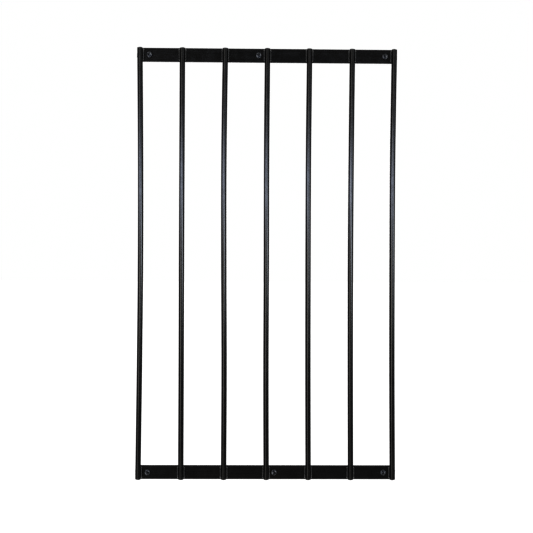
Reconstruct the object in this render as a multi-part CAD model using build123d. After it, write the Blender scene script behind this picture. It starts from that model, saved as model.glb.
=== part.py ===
from build123d import *

import math
import os

# Window security guard: seven round bars welded across the front of two flat rails, and fixed to the
# wall round a window by six one-way security screws. It is one rigid welded frame: nothing on it moves.
#
# X runs to the right along the rails, Y into the wall, Z up. The backs of the rails lie on the wall
# plane Y = 0, and the origin is the centre of the guard in that plane.
# All sizes are in millimetres and all angles in degrees.

# Driving dimensions
guard_width = 602.0
guard_height = 1000.0
bar_count = 7
bar_diameter = 12.0
bar_end_chamfer = 1.0
rail_height = 32.0
rail_thickness = 3.0
rail_edge_radius = 0.7
hole_diameter = 7.2
hole_from_rail_end = 27.0
middle_hole_offset = 20.0

# Screws, measured from the underside of the head
head_diameter = 14.0
head_height = 4.0
head_crown = 0.6
head_edge_radius = 2.2
recess_depth = 2.2
recess_width = 1.6
recess_reach = 5.2
recess_ramp_angle = 24.0
neck_diameter = 6.8
shank_diameter = 6.0
shank_end = 20.0
shank_taper = 0.5
thread_end = 44.0
screw_length = 50.0
core_diameter = 4.2
thread_pitch = 3.0
thread_root_width = 1.3
thread_crest_width = 0.25
thread_bite = 0.15
point_radius = 0.2
point_turns = 1.5

# Weld beads: the round of the bead's section is set out from the bar's own axis
bead_radius = 4.9
bead_length = 28.0
bead_from_bar = 5.6
bead_from_wall = 4.6
end_bead_radius = 2.9
end_bead_length = 16.0
end_bead_from_bar = 4.2
end_bead_from_wall = 4.4
bead_root_gap = 3.0
bead_clear_of_wall = 0.2

# The bars are set out by eye and are not quite straight. Each row is one bar, left to right: how far
# its axis stands to the right of its even place at the top end, the upper quarter, the middle, the
# lower quarter and the bottom end.
bar_wander = [
    (0.0, 2.9, 3.9, 2.4, 0.0),
    (-0.1, -0.1, 0.0, 0.5, 0.6),
    (1.0, -1.8, -0.5, 1.8, 1.4),
    (0.2, -1.0, -0.1, -0.1, 1.8),
    (-0.4, -2.2, -1.8, -0.9, 0.9),
    (0.7, -1.1, -1.7, -0.7, 1.1),
    (0.0, -3.2, -3.1, -2.3, 0.0),
]

# Each screw stopped turning at its own angle: the slot's angle above the horizontal, left to right
slot_angles = {"top": (-25.0, -40.0, -55.0), "bottom": (-35.0, -30.0, -60.0)}

# Places worked out from the driving dimensions
bar_radius = bar_diameter / 2
bar_axis_y = -rail_thickness - bar_radius
bar_pitch = (guard_width - bar_diameter) / (bar_count - 1)
rail_centre_z = (guard_height - rail_height) / 2
corner_screw_x = guard_width / 2 - hole_from_rail_end
arc_share_of_run = 0.45
rail_side = {"top": 1, "bottom": -1}
places_across = ("left", "middle", "right")

# Room beyond a solid for the tools that cut it, and how near an edge must be to a height to be found
clear = 1.0
closeness = 0.01


def even_x(index):
    """Where bar number index, from 0, would stand if the bars were evenly spaced."""
    return -guard_width / 2 + bar_radius + index * bar_pitch


def bar_line(index):
    """The bar's axis: straight runs between its five points, joined by long tangent arcs."""
    run = guard_height / 4
    places = [even_x(index) + offset for offset in bar_wander[index]]
    points = [(x, bar_axis_y, guard_height / 2 - k * run) for k, x in enumerate(places)]
    radii = []
    for before, at, after in zip(places, places[1:], places[2:]):
        half_turn = abs(math.atan2(at - before, run) - math.atan2(after - at, run)) / 2
        radii.append(arc_share_of_run * run / math.tan(half_turn))
    return FilletPolyline(*points, radius=radii)


def make_bar(index):
    """A solid round bar with its end corners taken off."""
    line = bar_line(index)
    section = Plane(origin=line @ 0, z_dir=line % 0) * Circle(bar_radius)
    bar = sweep(section, path=line)
    ends = bar.faces().filter_by(GeomType.PLANE)
    return chamfer(ends.edges(), bar_end_chamfer)


def bar_x(index, end):
    """Where the bar's axis crosses the middle of the top or bottom rail."""
    share = (guard_height - rail_height) / 2 / guard_height + 0.5
    if end == "bottom":
        share = 1 - share
    return (bar_line(index) @ (1 - share)).X


def screw_places(end):
    """The X of the three screws in a rail. The bottom rail is the top one turned half a turn."""
    middle = -middle_hole_offset * rail_side[end]
    return (-corner_screw_x, middle, corner_screw_x)


def make_rail(end):
    """A flat bar with rounded long edges and three plain holes."""
    rail = Box(guard_width, rail_thickness, rail_height)
    rail = fillet(rail.edges().filter_by(Axis.X), rail_edge_radius)
    rail = Pos(0, -rail_thickness / 2, rail_side[end] * rail_centre_z) * rail
    for x in screw_places(end):
        hole = Rot(90, 0, 0) * Cylinder(hole_diameter / 2, rail_thickness + 2 * clear)
        rail -= Pos(x, -rail_thickness / 2, rail_side[end] * rail_centre_z) * hole
    return rail


def one_way_recess():
    """Half of the slot. One wall is upright, to be pushed; the other is a ramp that lets a driver slip."""
    floor = head_height - recess_depth
    above = head_height + clear
    ramp_run = head_diameter / 2 + clear
    ramp_top = floor + ramp_run * math.tan(math.radians(recess_ramp_angle))
    outline = Polyline(
        (-recess_width / 2, floor),
        (recess_width / 2, floor),
        (recess_width / 2 + ramp_run, ramp_top),
        (recess_width / 2 + ramp_run, above),
        (-recess_width / 2, above),
        close=True,
    )
    section = Plane.YZ * make_face(outline)
    wedge = extrude(section, amount=recess_reach)
    return wedge & Cylinder(recess_reach, 4 * head_height)


def thread_ridge(helix, root_radius):
    """Sweeps the ridge's section along a helix that starts on the X axis."""
    height = shank_diameter / 2 - root_radius
    profile = Polyline(
        (0, -thread_root_width / 2),
        (height, -thread_crest_width / 2),
        (height, thread_crest_width / 2),
        (0, thread_root_width / 2),
        close=True,
    )
    outwards = Vector((helix @ 0).X, 0, 0)
    start = Plane(origin=helix @ 0, x_dir=outwards, z_dir=helix % 0)
    return sweep(start * make_face(profile), path=helix, is_frenet=True)


def make_thread():
    """A right-hand ridge up the core, which also runs down the point and dies away there."""
    root_radius = core_diameter / 2 - thread_bite
    foot = (0, 0, -thread_end)
    rise = thread_end - shank_end - thread_pitch / 2
    upper = thread_ridge(Helix(thread_pitch, rise, root_radius, center=foot), root_radius)
    point_length = screw_length - thread_end
    taper = math.degrees(math.atan((core_diameter / 2 - point_radius) / point_length))
    run_out = Helix(
        thread_pitch,
        point_turns * thread_pitch,
        root_radius,
        center=foot,
        direction=(0, 0, -1),
        cone_angle=-taper,
    )
    lower = Rot(0, 0, 180) * thread_ridge(run_out, root_radius)
    crest_slope = (shank_diameter / 2 - point_radius) / point_length
    envelope_height = point_length + thread_pitch
    envelope_top = point_radius + crest_slope * envelope_height
    envelope = Cone(point_radius, envelope_top, envelope_height)
    lower &= Pos(0, 0, -screw_length + envelope_height / 2) * envelope
    return upper + lower


def make_screw():
    """A one-way pan-head screw standing on its head's underside: head up along +Z, shank down."""
    head_radius = head_diameter / 2
    crown_radius = (head_radius**2 + head_crown**2) / (2 * head_crown)
    crown_foot = head_height - head_crown
    crown = RadiusArc((head_radius, crown_foot), (0, head_height), -crown_radius)
    outline = Polyline(
        (0, head_height),
        (0, -screw_length),
        (point_radius, -screw_length),
        (core_diameter / 2, -thread_end),
        (core_diameter / 2, -shank_end - shank_taper),
        (shank_diameter / 2, -shank_end),
        (shank_diameter / 2, -rail_thickness),
        (neck_diameter / 2, 0),
        (head_radius, 0),
        (head_radius, crown_foot),
    )
    section = Plane.XZ * make_face(Curve() + [outline, crown])
    blank = revolve(section, Axis.Z)
    rim = blank.edges().filter_by_position(Axis.Z, crown_foot - closeness, crown_foot + closeness)
    blank = fillet(rim, head_edge_radius)
    recess = one_way_recess()
    blank = blank - recess - Rot(0, 0, 180) * recess
    return blank + make_thread()


def place_screw(screw, x, end, slot_angle):
    """Turns the slot to its angle, then lays the screw along Y with its head on the rail's front."""
    turned = Rot(90, 0, 0) * Rot(0, 0, slot_angle) * screw
    return Pos(x, -rail_thickness, rail_side[end] * rail_centre_z) * turned


def make_bead(index, end, side, bar, rail):
    """The weld down one side of a bar: a round-ended bead in the corner between bar and rail."""
    direction = 1 if side == "right" else -1
    outermost = (index, direction) in ((0, -1), (bar_count - 1, 1))
    radius = end_bead_radius if outermost else bead_radius
    length = end_bead_length if outermost else bead_length
    from_bar = end_bead_from_bar if outermost else bead_from_bar
    from_wall = end_bead_from_wall if outermost else bead_from_wall
    core = Cylinder(radius, length - 2 * radius)
    tips = [Pos(0, 0, k * (length / 2 - radius)) * Sphere(radius) for k in (-1, 1)]
    x = bar_x(index, end)
    z = rail_side[end] * rail_centre_z
    bead = Pos(x + direction * from_bar, -from_wall, z) * (core + tips)
    keep_width = 4 * bead_radius
    keep = Box(keep_width, keep_width, 2 * bead_length)
    keep_x = x + direction * (bead_root_gap + keep_width / 2)
    keep_y = -bead_clear_of_wall - keep_width / 2
    bead &= Pos(keep_x, keep_y, z) * keep
    return bead - bar - rail


os.makedirs("parts", exist_ok=True)

bars = [make_bar(index) for index in range(bar_count)]
for number, bar in enumerate(bars, start=1):
    export_step(bar, f"parts/bar_{number}.step")

screw = make_screw()
for end in rail_side:
    rail = make_rail(end)
    export_step(rail, f"parts/{end}_rail.step")
    for place, x, angle in zip(places_across, screw_places(end), slot_angles[end]):
        export_step(place_screw(screw, x, end, angle), f"parts/screw_{end}_{place}.step")
    for index, bar in enumerate(bars):
        for side in ("left", "right"):
            bead = make_bead(index, end, side, bar, rail)
            export_step(bead, f"parts/weld_{end}_{index + 1}_{side}.step")
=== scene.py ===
import math
import random

import bpy
from mathutils import Matrix, Vector, noise


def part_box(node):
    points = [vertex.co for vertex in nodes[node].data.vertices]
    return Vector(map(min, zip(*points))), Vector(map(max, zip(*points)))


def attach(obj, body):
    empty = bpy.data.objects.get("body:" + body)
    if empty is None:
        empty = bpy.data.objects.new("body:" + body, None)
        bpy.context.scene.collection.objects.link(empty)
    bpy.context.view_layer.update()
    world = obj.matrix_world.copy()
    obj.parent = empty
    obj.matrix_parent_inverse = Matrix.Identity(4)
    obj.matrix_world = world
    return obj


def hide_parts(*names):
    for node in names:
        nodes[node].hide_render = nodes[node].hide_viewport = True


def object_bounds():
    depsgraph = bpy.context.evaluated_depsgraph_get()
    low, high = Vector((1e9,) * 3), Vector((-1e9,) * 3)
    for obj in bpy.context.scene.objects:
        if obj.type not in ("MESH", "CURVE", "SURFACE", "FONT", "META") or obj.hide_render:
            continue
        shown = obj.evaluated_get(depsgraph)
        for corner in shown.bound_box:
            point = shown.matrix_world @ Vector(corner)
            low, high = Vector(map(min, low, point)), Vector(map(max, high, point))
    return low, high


# Window security guard, welded from round bars and flat rails, powder coated black and fixed by
# one-way screws. Metres, +Z up, the front faces -Y, and the backs of the rails lie on the plane Y = 0.

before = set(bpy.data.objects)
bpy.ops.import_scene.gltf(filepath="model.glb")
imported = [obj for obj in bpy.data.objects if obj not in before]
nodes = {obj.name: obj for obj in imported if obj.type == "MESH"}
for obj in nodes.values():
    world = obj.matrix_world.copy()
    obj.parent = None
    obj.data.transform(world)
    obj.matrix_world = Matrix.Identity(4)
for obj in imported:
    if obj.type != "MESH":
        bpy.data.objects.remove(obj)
cad_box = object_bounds()

# ---------------------------------------------------------------- camera

CAMERA_DISTANCE = 2.4084
CAMERA_TARGET = Vector((0.0004, 0.0, -0.0057))
CAMERA_YAW = math.radians(-1.06)
CAMERA_PITCH = math.radians(-0.07)
CAMERA_ROLL = math.radians(0.28)
CAMERA_RANGE = (0.01, 100.0)
SENSOR_WIDTH = 36.0
LENS = 69.89


def make_camera():
    """Nearly square on to the guard, a little to its left, at the height of its middle."""
    forward = Vector((
        -math.sin(CAMERA_YAW) * math.cos(CAMERA_PITCH),
        math.cos(CAMERA_YAW) * math.cos(CAMERA_PITCH),
        math.sin(CAMERA_PITCH),
    ))
    level = Vector((math.cos(CAMERA_YAW), math.sin(CAMERA_YAW), 0.0))
    upright = level.cross(forward)
    right = level * math.cos(CAMERA_ROLL) + upright * math.sin(CAMERA_ROLL)
    up = upright * math.cos(CAMERA_ROLL) - level * math.sin(CAMERA_ROLL)
    turn = Matrix((right, up, -forward)).transposed().to_4x4()
    data = bpy.data.cameras.new("camera")
    data.sensor_width = SENSOR_WIDTH
    data.lens = LENS
    data.clip_start, data.clip_end = CAMERA_RANGE
    camera = bpy.data.objects.new("camera", data)
    camera.matrix_world = Matrix.Translation(CAMERA_TARGET - forward * CAMERA_DISTANCE) @ turn
    bpy.context.scene.collection.objects.link(camera)
    bpy.context.scene.camera = camera


make_camera()

# ---------------------------------------------------------------- shader helpers


class Nodes:
    """A node tree with short calls for the nodes that the finishes and the room use."""

    def __init__(self, tree, place):
        self.tree = tree
        self.tree.nodes.clear()
        self.place = self.tree.nodes.new("ShaderNodeTexCoord").outputs[place]

    def put(self, socket, value):
        if isinstance(value, bpy.types.NodeSocket):
            self.tree.links.new(value, socket)
        else:
            socket.default_value = value

    def math(self, operation, a, b=0.0, c=0.0, clamp=False):
        node = self.tree.nodes.new("ShaderNodeMath")
        node.operation = operation
        node.use_clamp = clamp
        for socket, value in zip(node.inputs, (a, b, c)):
            self.put(socket, value)
        return node.outputs[0]

    def tint(self, colour, strength):
        """A colour times a strength. Either may be a socket."""
        node = self.tree.nodes.new("ShaderNodeVectorMath")
        node.operation = "SCALE"
        self.put(node.inputs[0], colour)
        self.put(node.inputs["Scale"], strength)
        return node.outputs[0]

    def bell(self, *places):
        """1 where every value is at its centre, fading to 0. Each place is value, centre and spread."""
        total = 0.0
        for value, centre, spread in places:
            off = self.math("DIVIDE", self.math("SUBTRACT", value, centre), spread)
            total = self.math("MULTIPLY_ADD", off, off, total)
        return self.math("EXPONENT", self.math("MULTIPLY", total, -1.0))

    def add(self, a, b):
        """The sum of two colours."""
        node = self.tree.nodes.new("ShaderNodeVectorMath")
        self.put(node.inputs[0], a)
        self.put(node.inputs[1], b)
        return node.outputs[0]

    def noise(self, scale, detail=3.0, roughness=0.5, stretch=None):
        node = self.tree.nodes.new("ShaderNodeTexNoise")
        node.inputs["Scale"].default_value = scale
        node.inputs["Detail"].default_value = detail
        node.inputs["Roughness"].default_value = roughness
        place = self.place
        if stretch:
            mapping = self.tree.nodes.new("ShaderNodeMapping")
            mapping.inputs["Scale"].default_value = stretch
            self.tree.links.new(place, mapping.inputs["Vector"])
            place = mapping.outputs[0]
        self.tree.links.new(place, node.inputs["Vector"])
        return node.outputs["Fac"]

    def axes(self):
        node = self.tree.nodes.new("ShaderNodeSeparateXYZ")
        self.tree.links.new(self.place, node.inputs[0])
        return node.outputs

    def spread(self, value, low, high, to_low=0.0, to_high=1.0):
        """Maps low..high smoothly to to_low..to_high."""
        node = self.tree.nodes.new("ShaderNodeMapRange")
        node.interpolation_type = "SMOOTHSTEP"
        numbers = (value, low, high, to_low, to_high)
        for name, number in zip(("Value", "From Min", "From Max", "To Min", "To Max"), numbers):
            self.put(node.inputs[name], number)
        return node.outputs[0]

    def mix(self, share, a, b):
        node = self.tree.nodes.new("ShaderNodeMix")
        node.data_type = "RGBA"
        self.put(node.inputs["Factor"], share)
        for socket, colour in ((node.inputs[6], a), (node.inputs[7], b)):
            self.put(socket, colour)
        return node.outputs[2]

    def bump(self, height, distance, strength, below=None):
        node = self.tree.nodes.new("ShaderNodeBump")
        node.inputs["Strength"].default_value = strength
        node.inputs["Distance"].default_value = distance
        self.tree.links.new(height, node.inputs["Height"])
        if below:
            self.tree.links.new(below, node.inputs["Normal"])
        return node.outputs[0]


class Shader(Nodes):
    """A material with one Principled shader."""

    def __init__(self, name):
        self.material = bpy.data.materials.new(name)
        self.material.use_nodes = True
        super().__init__(self.material.node_tree, "Object")
        output = self.tree.nodes.new("ShaderNodeOutputMaterial")
        self.surface = self.tree.nodes.new("ShaderNodeBsdfPrincipled")
        self.tree.links.new(self.surface.outputs[0], output.inputs["Surface"])


# ---------------------------------------------------------------- finishes

# The base colours are darker than real powder coat, to keep the rails dark under the room's strong light
COAT_THICK = (0.0031, 0.0031, 0.0030, 1.0)
COAT_THIN = (0.0048, 0.0047, 0.0046, 1.0)
COAT_SCUFFED = (0.030, 0.029, 0.027, 1.0)
COAT_ROUGHNESS = 0.12
FLAT_BAR_ROUGHNESS = 0.12
WELD_ROUGHNESS = 0.34
COAT_IOR = 1.5
SHINE_VARIES = 0.03
WORN_ROUGHER = 0.15
SPECK_WEAR = 0.05
EDGE_WEAR = 0.8
# Mill lines run along the rails: how the noise is stretched, and how far they cloud and dull the coat
MILL_LINES = (5.0, 5.0, 520.0)
MILL_CLOUD = 1.6
MILL_SHINE = 0.12
SCREW_DARK = (0.028, 0.029, 0.031, 1.0)
SCREW_WORN = (0.074, 0.076, 0.081, 1.0)
SCREW_ROUGHNESS = (0.20, 0.28)
# Where wear starts and is full, measured in from an edge or end, or out from the rail's front
LONG_EDGE_WEAR = (0.0016, 0.0002)
RAIL_END_WEAR = (0.0014, 0.0)
BAR_END_WEAR = (0.003, 0.0008)
WELD_CREST_WEAR = (0.0042, 0.0066)
WELD_CREST_MOST = 0.5


def powder_coat(name, wear=None, roughness=COAT_ROUGHNESS, grain=None):
    """Black powder coat: orange peel, cloudiness, mill lines if asked, and scuffs where wear is high."""
    s = Shader(name)
    cloud = s.noise(14.0, detail=4.0)
    if grain:
        lines = s.noise(1.0, detail=3.0, roughness=0.6, stretch=grain)
        cloud = s.math("MULTIPLY_ADD", s.math("SUBTRACT", lines, 0.5), MILL_CLOUD, cloud)
    speck = s.noise(420.0, detail=2.0)
    colour = s.mix(s.spread(cloud, 0.3, 0.7), COAT_THICK, COAT_THIN)
    rub = s.spread(speck, 0.52, 0.68)
    worn = s.math("MULTIPLY", rub, SPECK_WEAR)
    if wear:
        edge = wear(s)
        patches = s.spread(s.noise(160.0, detail=5.0, roughness=0.65), 0.46, 0.62)
        broken = s.math("MULTIPLY", edge, patches)
        worn = s.math("ADD", worn, s.math("MULTIPLY", broken, EDGE_WEAR), clamp=True)
    s.put(s.surface.inputs["Base Color"], s.mix(worn, colour, COAT_SCUFFED))
    shiniest, dullest = roughness - SHINE_VARIES, roughness + SHINE_VARIES
    shine = s.spread(s.noise(55.0, detail=5.0, roughness=0.6), 0.3, 0.7, shiniest, dullest)
    if grain:
        shine = s.math("MULTIPLY_ADD", s.math("SUBTRACT", lines, 0.5), MILL_SHINE, shine)
    s.put(s.surface.inputs["Roughness"], s.math("MULTIPLY_ADD", worn, WORN_ROUGHER, shine))
    s.surface.inputs["IOR"].default_value = COAT_IOR
    peel = s.bump(s.noise(560.0, detail=2.0), 0.00010, 0.10)
    grit = s.bump(s.noise(2600.0, detail=1.0), 0.00002, 0.06, below=peel)
    s.put(s.surface.inputs["Normal"], grit)
    return s.material


rail_top_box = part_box("top_rail")
RAIL_HALF_HEIGHT = (rail_top_box[1].z - rail_top_box[0].z) / 2
RAIL_CENTRE_Z = (rail_top_box[1].z + rail_top_box[0].z) / 2
RAIL_FRONT_Y = rail_top_box[0].y
RAIL_END_X = rail_top_box[1].x
GUARD_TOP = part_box("bar_4")[1].z


def rail_wear(s):
    """The long edges and the ends of both rails."""
    x, _, z = s.axes()
    across = s.math("ABSOLUTE", s.math("SUBTRACT", s.math("ABSOLUTE", z), RAIL_CENTRE_Z))
    long_edge = s.spread(across, *(RAIL_HALF_HEIGHT - inset for inset in LONG_EDGE_WEAR))
    end = s.spread(s.math("ABSOLUTE", x), *(RAIL_END_X - inset for inset in RAIL_END_WEAR))
    return s.math("MAXIMUM", long_edge, end)


def bar_wear(s):
    """The chamfered ends of the bars."""
    _, _, z = s.axes()
    return s.spread(s.math("ABSOLUTE", z), *(GUARD_TOP - inset for inset in BAR_END_WEAR))


def weld_wear(s):
    """Coat thins on the crests of the weld ripples, which stand furthest forward."""
    _, y, _ = s.axes()
    low, high = (RAIL_FRONT_Y - out for out in WELD_CREST_WEAR)
    return s.spread(y, low, high, 0.0, WELD_CREST_MOST)


def screw_finish():
    """Black zinc on steel: dark, faintly blue and uneven, worn brighter in small patches."""
    s = Shader("black_zinc_screw")
    patch = s.spread(s.noise(300.0, detail=4.0), 0.35, 0.7)
    s.put(s.surface.inputs["Base Color"], s.mix(patch, SCREW_DARK, SCREW_WORN))
    s.surface.inputs["Metallic"].default_value = 1.0
    shine = s.spread(s.noise(500.0, detail=3.0), 0.3, 0.7, *SCREW_ROUGHNESS)
    s.put(s.surface.inputs["Roughness"], shine)
    s.put(s.surface.inputs["Normal"], s.bump(s.noise(1500.0, detail=3.0), 0.00005, 0.25))
    return s.material


def dress(node_name, material):
    mesh = nodes[node_name].data
    mesh.materials.clear()
    mesh.materials.append(material)


bar_paint = powder_coat("powder_coat_bars", bar_wear)
rail_paint = powder_coat("powder_coat_rails", rail_wear, FLAT_BAR_ROUGHNESS, MILL_LINES)
weld_paint = powder_coat("powder_coat_welds", weld_wear, WELD_ROUGHNESS)
screw_steel = screw_finish()
for node_name in sorted(nodes):
    if node_name.startswith("bar_"):
        dress(node_name, bar_paint)
    elif node_name.endswith("_rail"):
        dress(node_name, rail_paint)
    elif node_name.startswith("screw_"):
        dress(node_name, screw_steel)

# ---------------------------------------------------------------- weld beads

BAR_COUNT = 7
BAR_RADIUS = 0.006
BAR_AXIS_Y = RAIL_FRONT_Y - BAR_RADIUS
BURIED = 0.0003
BEAD = {"radius": 0.0049, "from_bar": 0.0056, "from_wall": 0.0046}
END_BEAD = {"radius": 0.0029, "from_bar": 0.0042, "from_wall": 0.0044}
BODY_SHARE = 0.84
SWELL_SHARE = 0.09
DRIFT_SHARE = 0.05
LUMP_LENGTH = 0.17
RIPPLE_PITCH = 0.0029
RIPPLE_DEPTH = 0.00042
RIPPLE_BOW = 0.9
RIPPLE_LEFT_ON_LUMP = 0.2
LUMPY = ((0.00052, 270.0), (0.00014, 850.0))
SHOULDER = 3.2
BEAD_RINGS = 96
BEAD_SPOKES = 32
WELD_SEED = 4127


def ray_reach(origin, direction, bar_centre):
    """How far a ray in the XY plane goes before it is just inside the bar or the rail."""
    reach = 1.0
    to_centre = (bar_centre[0] - origin[0], bar_centre[1] - origin[1])
    along = to_centre[0] * direction[0] + to_centre[1] * direction[1]
    across = to_centre[0] ** 2 + to_centre[1] ** 2 - along**2
    inner = (BAR_RADIUS - BURIED) ** 2
    if along > 0 and across < inner:
        reach = along - math.sqrt(inner - across)
    if direction[1] > 1e-6:
        to_rail = (RAIL_FRONT_Y + BURIED - origin[1]) / direction[1]
        hit_x = origin[0] + direction[0] * to_rail
        if abs(hit_x) < RAIL_END_X - BURIED:
            reach = min(reach, to_rail)
    return reach


def smooth_random(draw, count):
    """A run of random values joined by smooth curves, as a function of 0 to 1."""
    values = [draw.uniform(-1.0, 1.0) for _ in range(count + 1)]

    def at(t):
        place = min(max(t, 0.0), 1.0) * (count - 1e-6)
        k = int(place)
        f = place - k
        f = f * f * (3 - 2 * f)
        return values[k] * (1 - f) + values[k + 1] * f

    return at


def make_bead(end, number, side, draw):
    """One run of weld: ripples from the outer end to a fuller, smoother lump near the inner end."""
    name = f"weld_{end}_{number}_{side}"
    low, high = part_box(name)
    direction = 1 if side == "right" else -1
    outermost = (number, direction) in ((1, -1), (BAR_COUNT, 1))
    shape = END_BEAD if outermost else BEAD
    radius = shape["radius"]
    outer_x = high.x if direction > 0 else low.x
    bar_x = outer_x - direction * (shape["from_bar"] + radius)
    centre = (bar_x + direction * shape["from_bar"], -shape["from_wall"])
    bar_centre = (bar_x, BAR_AXIS_Y)
    middle_z = (low.z + high.z) / 2
    half_length = (high.z - low.z) / 2
    inwards = -1 if end == "top" else 1
    face = math.atan2(-1.0, direction * 0.9)
    swell = smooth_random(draw, 7)
    drift = smooth_random(draw, 5)
    phase = draw.random()
    pitch = RIPPLE_PITCH * draw.uniform(0.85, 1.2)
    scale = radius / BEAD["radius"]
    depth = scale * RIPPLE_DEPTH * draw.uniform(0.7, 1.2)
    lump_at = draw.uniform(0.55, 0.72)
    lump_size = draw.uniform(0.10, 0.16)
    verts = [(centre[0], centre[1], middle_z - half_length)]
    for ring in range(1, BEAD_RINGS):
        along = -math.cos(math.pi * ring / BEAD_RINGS)
        z = along * half_length
        beyond = max(0.0, abs(z) - (half_length - radius))
        cap = math.sqrt(max(0.0, 1 - (beyond / radius) ** 2))
        lump = math.exp(-(((along * inwards) - lump_at) / LUMP_LENGTH) ** 2)
        body = BODY_SHARE + SWELL_SHARE * swell((along + 1) / 2) + lump_size * lump
        ripple_depth = depth * (1 - (1 - RIPPLE_LEFT_ON_LUMP) * lump)
        for spoke in range(BEAD_SPOKES):
            angle = 2 * math.pi * spoke / BEAD_SPOKES
            ray = (math.cos(angle), math.sin(angle))
            bow = 0.5 * (1 - math.cos(angle - face))
            step = (z * inwards / pitch + phase + RIPPLE_BOW * bow) % 1.0
            ripple = ripple_depth * (0.5 - (2 * step - 1) ** 2)
            side_drift = DRIFT_SHARE * drift((along + 1) / 2) * math.cos(angle - face - 1.0)
            skin = Vector((centre[0] + ray[0] * radius, centre[1] + ray[1] * radius, middle_z + z))
            rough = scale * sum(size * noise.noise(skin * rate) for size, rate in LUMPY)
            square = (abs(ray[0]) ** SHOULDER + abs(ray[1]) ** SHOULDER) ** (-1 / SHOULDER)
            reach = cap * (radius * square * (body + side_drift) + ripple + rough)
            reach = min(reach, cap * radius, ray_reach(centre, ray, bar_centre))
            verts.append((centre[0] + ray[0] * reach, centre[1] + ray[1] * reach, middle_z + z))
    verts.append((centre[0], centre[1], middle_z + half_length))
    faces = []
    last = len(verts) - 1
    top = 1 + (BEAD_RINGS - 2) * BEAD_SPOKES
    for spoke in range(BEAD_SPOKES):
        after = (spoke + 1) % BEAD_SPOKES
        faces.append((0, 1 + after, 1 + spoke))
        faces.append((last, top + spoke, top + after))
        for ring in range(BEAD_RINGS - 2):
            row = 1 + ring * BEAD_SPOKES
            above = row + BEAD_SPOKES
            faces.append((row + spoke, row + after, above + after, above + spoke))
    mesh = bpy.data.meshes.new(f"rippled_{name}")
    mesh.from_pydata(verts, [], faces)
    mesh.shade_smooth()
    mesh.materials.append(weld_paint)
    bead = bpy.data.objects.new(f"rippled_{name}", mesh)
    bpy.context.scene.collection.objects.link(bead)
    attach(bead, "root")
    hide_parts(name)


weld_draw = random.Random(WELD_SEED)
for end in ("top", "bottom"):
    for number in range(1, BAR_COUNT + 1):
        for side in ("left", "right"):
            make_bead(end, number, side, weld_draw)

# ---------------------------------------------------------------- stage and light

FLOOR_Z = cad_box[0].z - 0.02
FLOOR_SIZE = 60.0
FLOOR_COLOUR = (0.02, 0.02, 0.02, 1.0)
WHITE = (1.0, 1.0, 1.0, 1.0)

# Directions in the room are in degrees: azimuth from straight in front, positive to the right,
# turn, which is its absolute value, and height
COOL = (0.85, 0.955, 1.20)
PALE = (0.95, 1.0, 1.05)
WARM = (1.04, 1.01, 0.95)
NEUTRAL = (1.0, 1.0, 1.0)
ROOM_FRONT = 0.59
ROOM_SIDE = 0.12
FRONT_EDGES = (80.0, 130.0)
# Above and below, the room is lit all round, more so at two turns to each side: turn and spread
ABOVE_EDGES = (11.0, 20.0)
ROOM_ABOVE = 1.0
ABOVE_GLOW = 6.0
ABOVE_TURNS = ((38.0, 20.0), (128.0, 24.0))
# Soft glows in front: radiance, azimuth and its spread, height and its spread, and colour
GLOWS = (
    (8.4, -18.0, 60.7, 4.5, 2.1, COOL),
    (16.8, 40.5, 12.0, 0.65, 3.07, PALE),
    (11.8, -26.4, 12.0, 0.6, 11.0, WARM),
    (4.2, 38.3, 20.0, 4.27, 6.73, PALE),
)
# The glow straight behind: radiance, and the spreads of azimuth and height
REAR_GLOW = 4.0
REAR_SPREADS = (12.0, 14.0)
OVERHEAD_HEIGHT = 2.6
OVERHEAD_SIZE = 1.6
OVERHEAD_RADIANCE = 2.0


def make_floor():
    """A pale floor that glows evenly. Its own colour is dark, so that the light can't overexpose it."""
    mesh = bpy.data.meshes.new("floor")
    half = FLOOR_SIZE / 2
    square = ((-half, -half), (half, -half), (half, half), (-half, half))
    corners = [(x, y, FLOOR_Z) for x, y in square]
    mesh.from_pydata(corners, [], [(0, 1, 2, 3)])
    floor = bpy.data.objects.new("floor", mesh)
    s = Shader("pale_floor")
    s.surface.inputs["Base Color"].default_value = FLOOR_COLOUR
    s.surface.inputs["Roughness"].default_value = 0.9
    s.surface.inputs["Specular IOR Level"].default_value = 0.0
    s.surface.inputs["Emission Color"].default_value = WHITE
    s.surface.inputs["Emission Strength"].default_value = 1.0
    mesh.materials.append(s.material)
    floor.visible_glossy = False
    floor.visible_diffuse = False
    floor.visible_shadow = False
    bpy.context.scene.collection.objects.link(floor)


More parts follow.
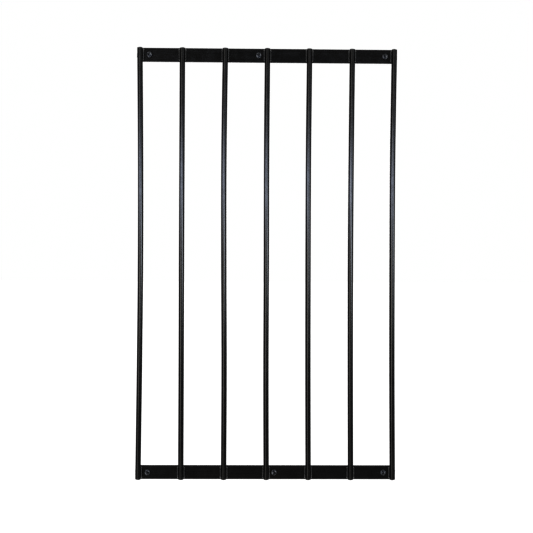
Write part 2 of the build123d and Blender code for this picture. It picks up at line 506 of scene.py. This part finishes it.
def make_world():
    """White to look at. What lights the guard is a dim room with soft glows on all sides."""
    world = bpy.data.worlds.new("studio")
    world.use_nodes = True
    n = Nodes(world.node_tree, "Generated")
    x, y, z = n.axes()
    radian = math.degrees(1.0)
    azimuth = n.math("MULTIPLY", n.math("ARCTAN2", x, n.math("MULTIPLY", y, -1.0)), radian)
    height = n.math("MULTIPLY", n.math("ARCSINE", z), radian)
    turn = n.math("ABSOLUTE", azimuth)
    in_front = n.spread(turn, *FRONT_EDGES, 1.0, 0.0)
    light = n.tint(NEUTRAL, ROOM_FRONT)
    for radiance, centre, spread, centre_height, spread_height, colour in GLOWS:
        glow = n.bell((azimuth, centre, spread), (height, centre_height, spread_height))
        light = n.add(light, n.tint(colour, n.math("MULTIPLY", glow, radiance)))
    side = n.math("MULTIPLY", n.math("SUBTRACT", 1.0, in_front), ROOM_SIDE)
    round_about = ROOM_ABOVE
    for centre, spread in ABOVE_TURNS:
        round_about = n.math("MULTIPLY_ADD", n.bell((turn, centre, spread)), ABOVE_GLOW, round_about)
    above = n.math("MULTIPLY", round_about, n.spread(n.math("ABSOLUTE", height), *ABOVE_EDGES))
    rear = n.bell((turn, 180.0, REAR_SPREADS[0]), (height, 0.0, REAR_SPREADS[1]))
    rest = n.math("ADD", side, n.math("MULTIPLY_ADD", rear, REAR_GLOW, above))
    light = n.add(n.tint(light, in_front), n.tint(NEUTRAL, rest))
    room = n.tree.nodes.new("ShaderNodeBackground")
    n.tree.links.new(light, room.inputs["Color"])
    backdrop = n.tree.nodes.new("ShaderNodeBackground")
    backdrop.inputs["Color"].default_value = WHITE
    path = n.tree.nodes.new("ShaderNodeLightPath")
    mix = n.tree.nodes.new("ShaderNodeMixShader")
    output = n.tree.nodes.new("ShaderNodeOutputWorld")
    n.tree.links.new(path.outputs["Is Camera Ray"], mix.inputs[0])
    n.tree.links.new(room.outputs[0], mix.inputs[1])
    n.tree.links.new(backdrop.outputs[0], mix.inputs[2])
    n.tree.links.new(mix.outputs[0], output.inputs["Surface"])
    bpy.context.scene.world = world


def add_overhead():
    """A square panel above the guard, facing down."""
    data = bpy.data.lights.new("overhead", "AREA")
    data.size = OVERHEAD_SIZE
    data.energy = OVERHEAD_RADIANCE * math.pi * OVERHEAD_SIZE**2
    light = bpy.data.objects.new("overhead", data)
    light.location = (0.0, 0.0, OVERHEAD_HEIGHT)
    light.visible_camera = False
    bpy.context.scene.collection.objects.link(light)


make_floor()
make_world()
add_overhead()

# ---------------------------------------------------------------- tone of the picture

# A contrasty print makes the edges of dark bars on white heavier, nearer to those in the photograph
PRINT_GAMMA = 0.5

bpy.context.scene.view_settings.view_transform = "Standard"
bpy.context.scene.view_settings.gamma = PRINT_GAMMA
bpy.context.view_layer.update()
